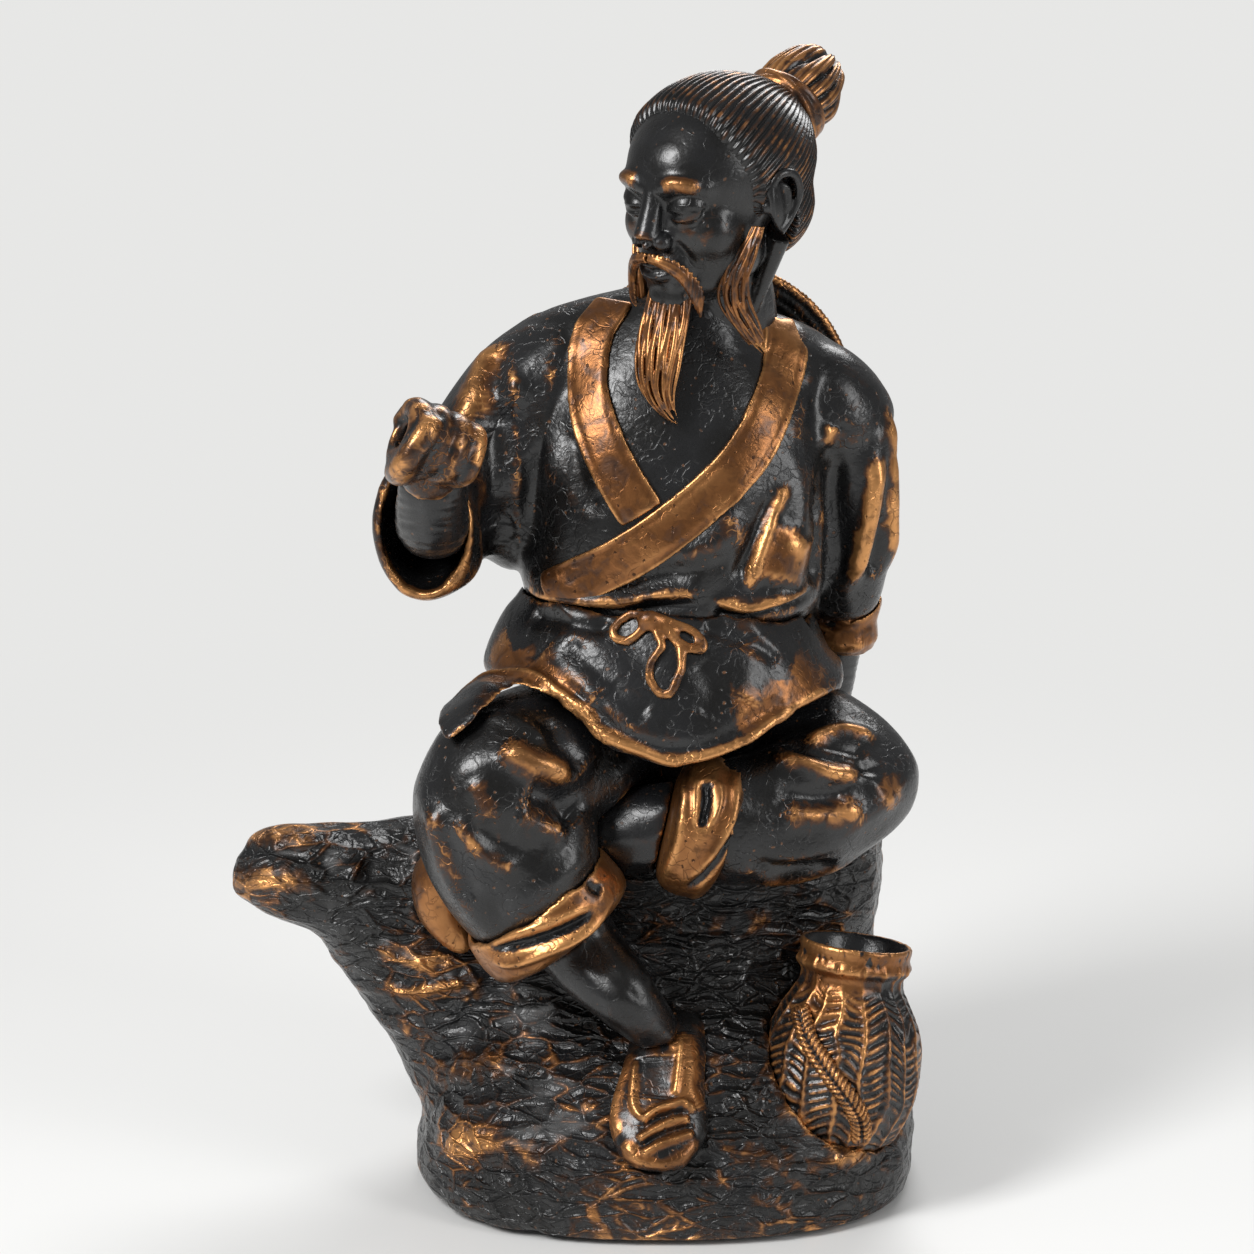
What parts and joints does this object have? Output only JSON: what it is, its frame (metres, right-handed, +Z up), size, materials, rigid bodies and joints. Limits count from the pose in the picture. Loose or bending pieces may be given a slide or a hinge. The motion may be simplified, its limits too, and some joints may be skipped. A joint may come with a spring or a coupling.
{
  "type": "taoist deity statue",
  "caption": "Seated robed elder on a rock with a fish basket at the side, a pierced fist for a rod and a straw hat on the back, bronze finish.",
  "frame": {"origin": "under the middle of the statue's box, on the surface that it stands on", "axes": "+Z up; the front of the figure faces -Y; +X is to the right of someone who looks at its front"},
  "size_m": [0.243, 0.153, 0.3965],
  "materials": {
    "patina": "near-black bronze patina over cast resin, glossy, worn to copper on ridges",
    "rubbed_bronze": "rubbed copper-bronze paint over cast resin, dark in the hollows",
    "pad_rubber": "matt black pad",
    "pin_steel": "plain steel dowel"
  },
  "bodies": {
    "root": {"base_pad": "pad_rubber", "beard": "rubbed_bronze", "bun": "patina", "bun_band": "rubbed_bronze", "creel": "rubbed_bronze", "creel_pin": "pin_steel", "creel_strap": "rubbed_bronze", "hair": "patina", "hat": "patina", "hat_pin": "pin_steel", "head": "patina", "lapel_over": "rubbed_bronze", "lapel_under": "rubbed_bronze", "left_cuff": "rubbed_bronze", "left_cuff_roll": "rubbed_bronze", "left_forearm": "patina", "left_hand": "patina", "left_shin": "patina", "left_shoe": "patina", "left_side_lock": "rubbed_bronze", "left_sleeve": "patina", "left_trouser": "patina", "moustache": "rubbed_bronze", "neck_pin": "pin_steel", "right_cuff": "rubbed_bronze", "right_fist": "patina", "right_forearm": "patina", "right_shin": "patina", "right_shoe": "patina", "right_side_lock": "rubbed_bronze", "right_sleeve": "patina", "right_trouser": "patina", "rock_base": "patina", "sash_bow": "rubbed_bronze", "seat_pin": "pin_steel", "skirt": "patina", "torso": "patina", "wrist_pin": "pin_steel"}
  },
  "joints": []
}
